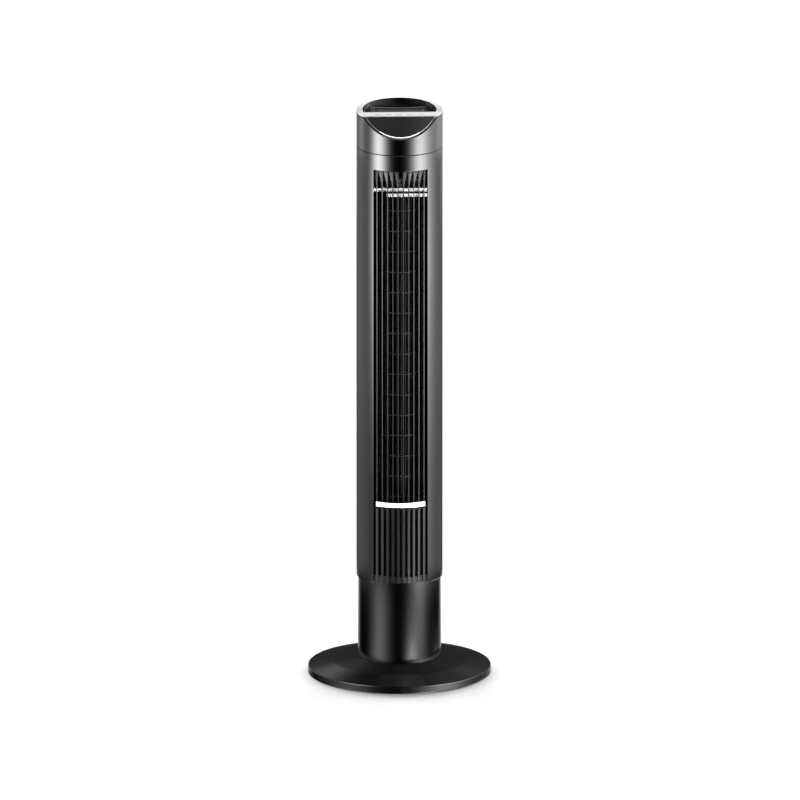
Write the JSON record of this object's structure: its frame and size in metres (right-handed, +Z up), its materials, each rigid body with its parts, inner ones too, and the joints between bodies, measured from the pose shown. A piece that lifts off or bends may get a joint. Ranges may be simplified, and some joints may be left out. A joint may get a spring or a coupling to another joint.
{
  "type": "tower fan",
  "caption": "Tall round black tower fan with an upright slatted outlet, sloping display and round base; the tower swings on its neck.",
  "frame": {"origin": "on the floor under the middle of the base", "axes": "+Z up, -Y towards the air outlet and display, +X to the right of someone facing the outlet"},
  "size_m": [0.32, 0.32, 1.0139],
  "materials": {
    "gloss_black": "high-gloss moulded black ABS",
    "satin_black": "satin moulded black",
    "impeller_black": "satin glass-filled black",
    "duct_black": "matt black",
    "silver_paint": "silver metallic lacquer on plastic",
    "chrome": "bright chrome plate",
    "display_window": "smoked clear window over black",
    "steel": "zinc plated",
    "cast_weight": "rough, painted dark",
    "rubber": "matt",
    "nylon": "natural nylon",
    "circuit_board": "green solder mask"
  },
  "bodies": {
    "stand": {"base_cover": "gloss_black", "base_plate": "satin_black", "base_weight": "cast_weight", "foot_1": "rubber", "foot_2": "rubber", "foot_3": "rubber", "foot_4": "rubber", "foot_5": "rubber", "foot_6": "rubber", "cord_gland": "rubber", "neck_column": "gloss_black", "neck_screw_1": "steel", "neck_screw_2": "steel", "neck_screw_3": "steel", "neck_screw_4": "steel", "pivot_plate": "steel", "pivot_post": "steel", "ring_gear": "nylon", "slide_ring": "nylon", "pivot_nut": "steel"},
    "tower": {"turntable": "satin_black", "oscillation_motor": "steel", "motor_deck": "duct_black", "top_deck": "duct_black", "fan_motor": "steel", "top_bearing": "rubber", "duct_scroll": "duct_black", "duct_tongue": "duct_black", "front_shell": "gloss_black", "rear_shell": "gloss_black", "shell_screw_1": "steel", "shell_screw_2": "steel", "shell_screw_3": "steel", "shell_screw_4": "steel", "outlet_grille": "satin_black", "chrome_band": "chrome", "chrome_bar_upper": "chrome", "chrome_bar_lower": "chrome", "head_shell": "gloss_black", "display_panel": "display_window", "display_trim": "silver_paint", "control_bezel": "silver_paint", "top_tray": "gloss_black", "control_board": "circuit_board", "display_board": "circuit_board", "wire_loom": "rubber"},
    "rotor": {"motor_shaft": "steel", "impeller_hub": "rubber", "impeller": "impeller_black", "impeller_pin": "steel"},
    "oscillation_pinion": {"oscillation_pinion": "nylon"},
    "button_power": {"button_power": "silver_paint"},
    "button_speed": {"button_speed": "silver_paint"},
    "button_mode": {"button_mode": "silver_paint"},
    "button_swing": {"button_swing": "silver_paint"},
    "button_timer": {"button_timer": "silver_paint"}
  },
  "joints": [
    {"name": "oscillation", "type": "hinge", "parent": "stand", "child": "tower", "pos_m": [0, 0, 0.18], "axis": [0, 0, 1], "range_deg": [-40, 40]},
    {"name": "pinion_spin", "type": "hinge", "parent": "tower", "child": "oscillation_pinion", "pos_m": [0, 0.035, 0.18], "axis": [0, 0, 1], "range_deg": [-165, 165]},
    {"name": "impeller_spin", "type": "hinge", "parent": "tower", "child": "rotor", "pos_m": [0, 0, 0.6], "axis": [0, 0, 1], "continuous": true},
    {"name": "power_press", "type": "slide", "parent": "tower", "child": "button_power", "axis": [0, 0, -1], "range_m": [0, 0.001], "stiffness_N_per_m": 400},
    {"name": "speed_press", "type": "slide", "parent": "tower", "child": "button_speed", "axis": [0, 0, -1], "range_m": [0, 0.001], "stiffness_N_per_m": 400},
    {"name": "mode_press", "type": "slide", "parent": "tower", "child": "button_mode", "axis": [0, 0, -1], "range_m": [0, 0.001], "stiffness_N_per_m": 400},
    {"name": "swing_press", "type": "slide", "parent": "tower", "child": "button_swing", "axis": [0, 0, -1], "range_m": [0, 0.001], "stiffness_N_per_m": 400},
    {"name": "timer_press", "type": "slide", "parent": "tower", "child": "button_timer", "axis": [0, 0, -1], "range_m": [0, 0.001], "stiffness_N_per_m": 400}
  ],
  "couplings": [
    {"joint": "pinion_spin", "follows": "oscillation", "ratio": 4}
  ]
}
